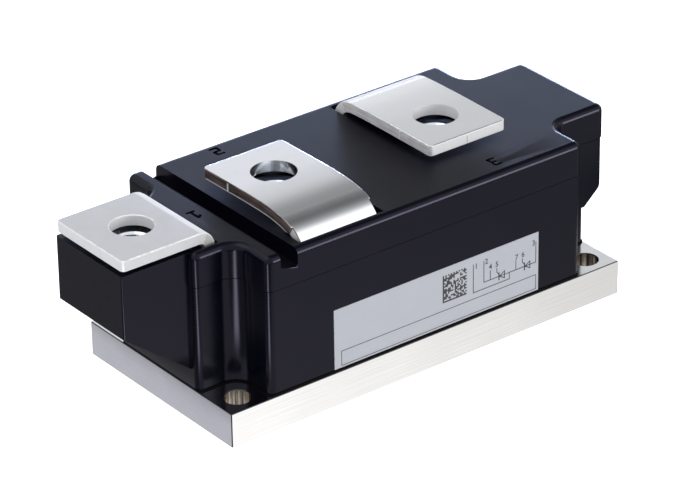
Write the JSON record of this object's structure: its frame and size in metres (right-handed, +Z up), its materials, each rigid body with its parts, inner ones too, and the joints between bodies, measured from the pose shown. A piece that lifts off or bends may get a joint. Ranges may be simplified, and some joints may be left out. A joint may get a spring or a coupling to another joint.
{
  "type": "thyristor module",
  "caption": "Low block-shaped power semiconductor module on a metal base plate, with bent screw terminals on its dark lid and control tabs at one end.",
  "frame": {"origin": "centre of the base plate's underside", "axes": "+X from terminal 1 to the control tabs, +Y from the label side to the back, +Z up from the base plate to the terminals"},
  "size_m": [0.1502, 0.06, 0.052],
  "materials": {
    "nickel_plate": "satin nickel plating on copper, finely ground",
    "sealant": "cured sealing bead",
    "housing": "blue-black moulded plastic, satin",
    "lid": "blue-black moulded plastic, satin",
    "terminal": "tin-plated copper strip, satin",
    "zinc_nut": "bright blue zinc plating",
    "control_tab": "tinned brass",
    "label": "silver foil label, satin",
    "ceramic": "fired ceramic",
    "copper": "bare copper",
    "semiconductor": "metallised disc, satin",
    "inner_plastic": "natural moulded plastic",
    "spring_steel": "phosphated spring steel",
    "black_steel": "black oxide",
    "lead": "insulated wire"
  },
  "bodies": {
    "root": {"base_plate": "nickel_plate", "seal_bead": "sealant", "housing_frame": "housing", "lid": "lid", "terminal_1": "terminal", "terminal_2": "terminal", "terminal_3": "terminal", "terminal_nut_1": "zinc_nut", "terminal_nut_2": "zinc_nut", "terminal_nut_3": "zinc_nut", "control_tab_4": "control_tab", "control_tab_5": "control_tab", "control_tab_6": "control_tab", "control_tab_7": "control_tab", "rating_label": "label", "insulator_disc_a": "ceramic", "insulator_disc_b": "ceramic", "mid_busbar": "copper", "thyristor_disc_a": "semiconductor", "thyristor_disc_b": "semiconductor", "centring_ring_a": "inner_plastic", "centring_ring_b": "inner_plastic", "cathode_disc_a": "copper", "cathode_disc_b": "copper", "gate_pin_a": "control_tab", "gate_pin_b": "control_tab", "insulating_cup_a": "inner_plastic", "insulating_cup_b": "inner_plastic", "pressure_pad_a": "spring_steel", "pressure_pad_b": "spring_steel", "spring_plate_a": "spring_steel", "spring_plate_b": "spring_steel", "clamp_screws": "black_steel", "gate_lead_a": "lead", "cathode_lead_a": "lead", "gate_lead_b": "lead", "cathode_lead_b": "lead"}
  },
  "joints": []
}
